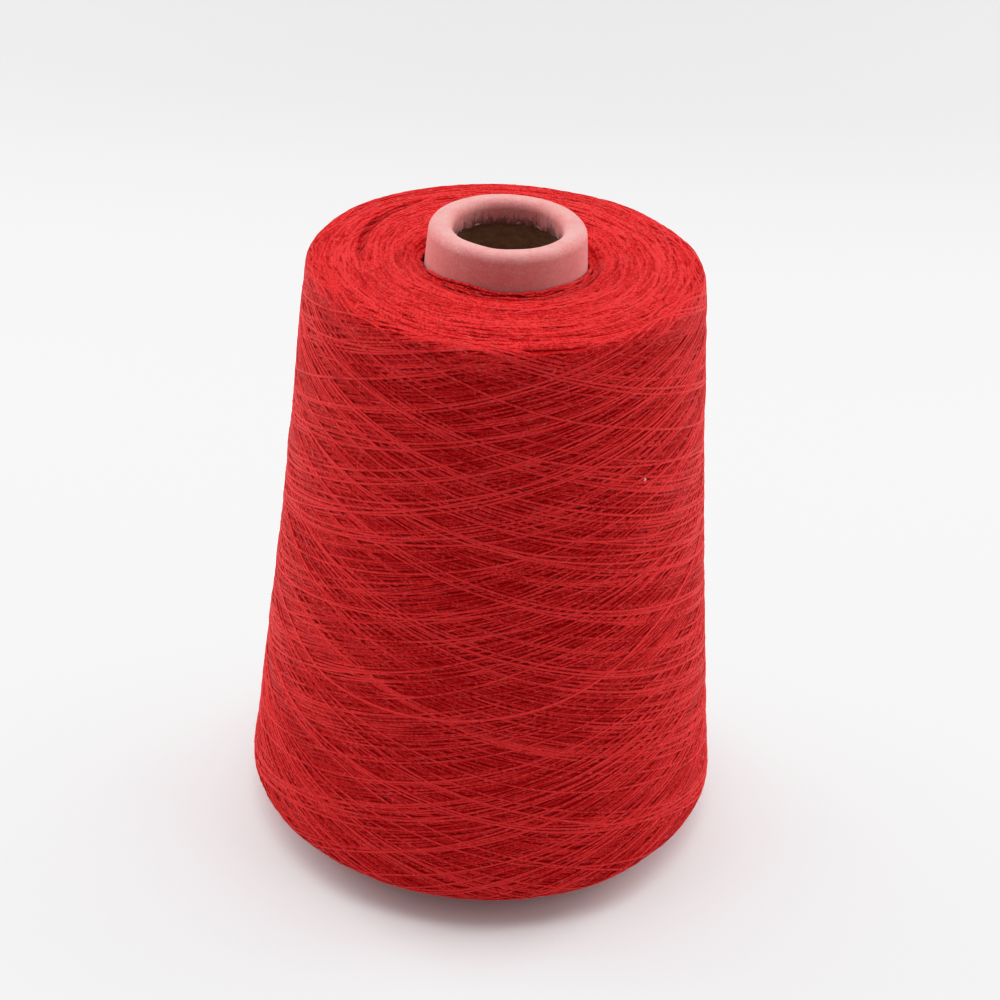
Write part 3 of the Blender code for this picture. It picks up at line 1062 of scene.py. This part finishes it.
def strand_mesh(name, stretches, finish):
    """Closed five-sided tubes along the stretches, with the lay of the yarn kept as a map."""
    counts = np.array([len(stretch[0]) for stretch in stretches])
    spots, ways, naps, tones, fullness = (np.concatenate(kind) for kind in zip(*stretches))
    firsts = np.concatenate([[0], np.cumsum(counts)[:-1]])
    lasts = firsts + counts - 1
    first_of = np.repeat(firsts, counts)
    last_of = np.repeat(lasts, counts)
    places = np.arange(len(spots))
    segments = np.setdiff1d(places, lasts)

    forward = spots[np.minimum(places + 1, last_of)] - spots[np.maximum(places - 1, first_of)]
    forward /= np.linalg.norm(forward, axis=1, keepdims=True)
    beside = np.cross(forward, ways)
    beside /= np.linalg.norm(beside, axis=1, keepdims=True)
    outward = np.cross(beside, forward)
    sideways = np.cos(STRAND_SECTION)[:, None] * beside[:, None]
    upwards = np.sin(STRAND_SECTION)[:, None] * outward[:, None]
    half_width = 0.5 * YARN_WIDTH * fullness[:, None, None]
    points = spots[:, None] + half_width * sideways + 0.5 * YARN_THICKNESS * upwards

    here = segments[:, None] * STRAND_SIDES
    ahead = here + STRAND_SIDES
    near = np.arange(STRAND_SIDES)[None, :]
    far = (near + 1) % STRAND_SIDES
    walls = np.stack([here + near, ahead + near, ahead + far, here + far], -1).reshape(-1, 4)
    caps = np.concatenate([firsts[:, None] * STRAND_SIDES + near,
                           lasts[:, None] * STRAND_SIDES + near[:, ::-1]])
    mesh = mesh_from(name, points.reshape(-1, 3), [walls, caps], finish)
    note_on_points(mesh, "tone", np.repeat(tones, STRAND_SIDES))
    note_on_points(mesh, "strand", np.repeat(np.arange(len(counts)), counts * STRAND_SIDES))
    note_on_points(mesh, "slack", np.repeat(fullness - 1.0, STRAND_SIDES))
    # The nap turns the light on a strand from its own round towards that of the whole package.
    napped = sideways + upwards + naps[:, None]
    mesh.normals_split_custom_set_from_vertices(napped.reshape(-1, 3))

    travelled = np.concatenate([[0], np.cumsum(np.linalg.norm(np.diff(spots, axis=0), axis=1))])
    travelled = 1000.0 * (travelled - travelled[first_of])
    ends = np.concatenate([firsts, lasts])
    keep_map(mesh, "lay", *lay_of_yarn(travelled, segments, ends))
    keep_map(mesh, "OFBake", *sheet_of_faces(segments, firsts, lasts))
    return mesh


def yarn_finish():
    yarn = Finish("red_yarn", Roughness=0.50, Specular_IOR_Level=0.05, Sheen_Weight=0.28,
                  Sheen_Roughness=0.20, Sheen_Tint=colour(1.0, 0.24, 0.23))
    tone = yarn.noted("tone")
    strand = yarn.noted("strand")
    slack = yarn.noted("slack")
    lay = yarn.node("ShaderNodeUVMap", {"uv_map": "lay"})
    length = yarn.node("ShaderNodeSeparateXYZ", (), {0: lay})
    around = length.part(1)
    turned = 2.0 * around + length * (2.0 / TWIST_PITCH)
    twist = (math.tau * turned).sine()
    hair_place = yarn.node("ShaderNodeCombineXYZ", (), {0: length * 0.8, 1: turned, 2: strand * 7.0})
    hairs = yarn.noise(hair_place, 1.3, detail=4.0, roughness=0.75)
    marks = hairs - 0.5
    clouds = yarn.noise(yarn.place(), 75.0, detail=2.0)
    crown = around.within(0.12, 0.5) - around.within(0.5, 0.88)

    # Hairs show most on the slack yarn of the ends, where the painted shade down its flanks is
    # also softer.
    hairs_on_tone = (HAIR_TONE[0] + HAIR_TONE[1] * slack) * marks
    hairs_on_flank = (HAIR_FLANK_SHADE[0] + HAIR_FLANK_SHADE[1] * slack) * marks
    # The crown is painted lighter, a painted highlight, and the tone carries painted shade and
    # light.
    share = tone + CLOUD_TONE * (clouds - 0.5) + hairs_on_tone + CROWN_PAINTED_LIGHT * (crown - 0.75)
    shaded = yarn.mixed(share.within(0.0, 1.0), colour(*YARN_DEEP_AND_SHADED), colour(*YARN_BRIGHT_AND_HIGHLIGHT))
    # Painted shade down the flanks of each strand.
    flank = (crown + SLACK_FLANK_SHADE * slack + hairs_on_flank).within(*FLANK_SHADE_REACH)
    yarn.paint(yarn.mixed(flank, colour(*YARN_FLANK_SHADE), shaded),
               0.80 * hairs + 0.10 * twist, YARN_RELIEF)
    return yarn.material


def make_strands(stretches):
    """The showing yarn, in pieces of no more than MOST_TRIANGLES each."""
    batches, triangles = [[]], 0
    for stretch in stretches:
        size = 2 * STRAND_SIDES * (len(stretch[0]) - 1) + 2 * (STRAND_SIDES - 2)
        if triangles + size > MOST_TRIANGLES:
            batches.append([])
            triangles = 0
        batches[-1].append(stretch)
        triangles += size
    finish = yarn_finish()
    names = [f"yarn_strands_{number}" for number in range(1, len(batches) + 1)]
    return [add_to_scene(name, strand_mesh(name, batch, finish))
            for name, batch in zip(names, batches)]


for yarn_strands in make_strands(stretches_that_show()):
    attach(yarn_strands, "root")


# ------------------------------------------------------------------------------ loose fibres
# The yarn is spun from short fibres, and some of their ends stand off every strand. Their colour
# runs at random from red to a pale tone that is painted sheen, for the light that fine fibres
# scatter. They help to make the package pale along its edges.
FIBRES = 16_000
ENDS_MORE_FIBRES = 2.2        # times as many stand off the slack yarn of the ends
FIBRE_WIDTH = 0.000038
FIBRE_SIDES = 3
FIBRE_LENGTH = (0.0006, 0.0024)
FIBRE_ROOT = 0.00008          # how deep in the strand a fibre starts
FIBRE_LEAN = 32               # spread of the degrees that they lie off the way round
FIBRE_RISE = (0.06, 0.42)     # least rise for its length, and the spread above it
FIBRE_CURL = 0.22
FIBRE_DROOP = (0.2, 1.1)
FIBRE_RELIEF = 0.00001
# Painted sheen: the pale fibre colour stands for the light that fine fibres scatter.
FIBRE_PALE_SHEEN = (0.84, 0.30, 0.28)
FIBRE_RED = (0.74, 0.07, 0.07)


def fibre_finish():
    fibre = Finish("red_yarn_fibres", Roughness=0.8, Specular_IOR_Level=0.2)
    grain = fibre.noise(fibre.place(), 900.0, detail=2.0)
    share = (fibre.noted("tone") + 0.4 * (grain - 0.5)).within(0.0, 1.0)
    tone = fibre.mixed(share, colour(*FIBRE_RED), colour(*FIBRE_PALE_SHEEN))
    fibre.paint(tone, grain, FIBRE_RELIEF)
    return fibre.material


def place_fibres():
    """Three places along each fibre, and two ways that are square to it."""
    first_row = int(low_edge[0]) - 20
    hairy = slice(first_row, row_count - 1)
    weight = row_radius[hairy] * (1.0 + (ENDS_MORE_FIBRES - 1.0) * (1.0 - on_side[hairy]))
    rows = first_row + random.choice(len(weight), FIBRES, p=weight / weight.sum())
    cells = random.integers(0, CELLS, FIBRES)
    azimuth = cells * math.tau / CELLS
    depth = tightened(cells, rows, pile[cells, rows]) + FIBRE_ROOT
    root, way = points_at(azimuth, rows, depth)
    around = np.stack([-np.sin(azimuth), np.cos(azimuth), np.zeros(FIBRES)], -1)
    upslope = np.cross(way, around)
    lean = np.radians(random.normal(0, FIBRE_LEAN, FIBRES))
    heading = random.choice([-1.0, 1.0], FIBRES)[:, None] * (
        np.cos(lean)[:, None] * around + np.sin(lean)[:, None] * upslope)
    aside = np.cross(way, heading)
    length = random.uniform(*FIBRE_LENGTH, FIBRES)[:, None]
    rise = np.abs(random.normal(0, FIBRE_RISE[1], FIBRES))[:, None] + FIBRE_RISE[0]
    curl = random.normal(0, FIBRE_CURL, FIBRES)[:, None]
    droop = random.uniform(*FIBRE_DROOP, FIBRES)[:, None]
    middle = root + 0.5 * length * (heading + rise * way + curl * aside)
    tip = middle + 0.5 * length * (heading + rise * (1.0 - droop) * way - 1.5 * curl * aside)
    return root, middle, tip, way, aside


def make_fibres():
    """Each fibre is a bent three-sided tube that narrows to a point."""
    root, middle, tip, way, aside = place_fibres()
    turns = np.arange(FIBRE_SIDES) * math.tau / FIBRE_SIDES
    ring = 0.5 * FIBRE_WIDTH * (np.cos(turns)[:, None] * way[:, None]
                                + np.sin(turns)[:, None] * aside[:, None])
    points = np.concatenate([root[:, None] + ring, middle[:, None] + 0.8 * ring,
                             tip[:, None]], axis=1)
    start = np.arange(FIBRES)[:, None] * points.shape[1]
    near = np.arange(FIBRE_SIDES)[None, :]
    far = (near + 1) % FIBRE_SIDES
    bend = start + FIBRE_SIDES
    walls = np.stack([start + near, start + far, bend + far, bend + near], -1).reshape(-1, 4)
    tips = np.stack([bend + near, bend + far, bend + FIBRE_SIDES + 0 * near], -1).reshape(-1, 3)
    roots = start + near[:, ::-1]
    mesh = mesh_from("yarn_fibres", points.reshape(-1, 3),
                     [walls, np.concatenate([tips, roots])], fibre_finish())
    note_on_points(mesh, "tone", np.repeat(random.uniform(0, 1, FIBRES), points.shape[1]))
    return add_to_scene("yarn_fibres", mesh)


yarn_fibres = make_fibres()
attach(yarn_fibres, "root")


# ------------------------------------------------------------------------------- a bit of lint
# A tuft of pale fluff not quite a millimetre across, caught on the yarn at the right of the
# front. It holds to the yarn by its own fibres.
LINT_PLACE = (43.0, 0.1226)   # degrees to the right of the front, height
LINT_SIZE = 0.00033           # its mean radius
LINT_ROUGHNESS = 0.22         # spread of its radius
LINT_OFF_YARN = 0.00022       # from the plain side to its middle
LINT_RELIEF = 0.00004
LINT_RED = (0.62, 0.30, 0.30)
LINT_PALE = (0.86, 0.74, 0.74)
LINT_RINGS = 9
LINT_STEPS = 16


def lint_finish():
    lint = Finish("pale_lint", Roughness=0.9, Specular_IOR_Level=0.1)
    grain = lint.noise(lint.place(), 3800.0)
    tone = lint.mixed(grain.within(0.35, 0.65), colour(*LINT_RED), colour(*LINT_PALE))
    lint.paint(tone, grain, LINT_RELIEF)
    return lint.material


def make_lint():
    """A small closed ball with a rough outline."""
    turn, height = math.radians(LINT_PLACE[0] - 90.0), LINT_PLACE[1]
    radius = np.interp(height, row_height[plain_side], row_radius[plain_side]) + LINT_OFF_YARN
    middle = np.array([radius * math.cos(turn), radius * math.sin(turn), height])
    across = np.linspace(0.0, math.pi, LINT_RINGS + 2)[1:-1, None]
    round_it = np.linspace(0.0, math.tau, LINT_STEPS, endpoint=False)[None, :]
    ball = np.stack([np.sin(across) * np.cos(round_it), np.sin(across) * np.sin(round_it),
                     np.cos(across) + 0.0 * round_it], -1).reshape(-1, 3)
    ball = np.concatenate([ball, [[0.0, 0.0, 1.0], [0.0, 0.0, -1.0]]])
    ball *= 1.0 + LINT_ROUGHNESS * random.normal(0, 1, (len(ball), 1)).clip(-1.5, 1.5)
    points = middle + LINT_SIZE * ball
    near = np.arange(LINT_STEPS)
    far = (near + 1) % LINT_STEPS
    ring = (np.arange(LINT_RINGS - 1) * LINT_STEPS)[:, None]
    walls = np.stack([ring + near, ring + LINT_STEPS + near, ring + LINT_STEPS + far,
                      ring + far], -1).reshape(-1, 4)
    top, foot = LINT_RINGS * LINT_STEPS, LINT_RINGS * LINT_STEPS + 1
    last = (LINT_RINGS - 1) * LINT_STEPS
    caps = np.concatenate([np.stack([near, far, top + 0 * near], -1),
                           np.stack([last + far, last + near, foot + 0 * near], -1)])
    return add_to_scene("lint", mesh_from("lint", points, [walls, caps], lint_finish()))


lint = make_lint()
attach(lint, "root")
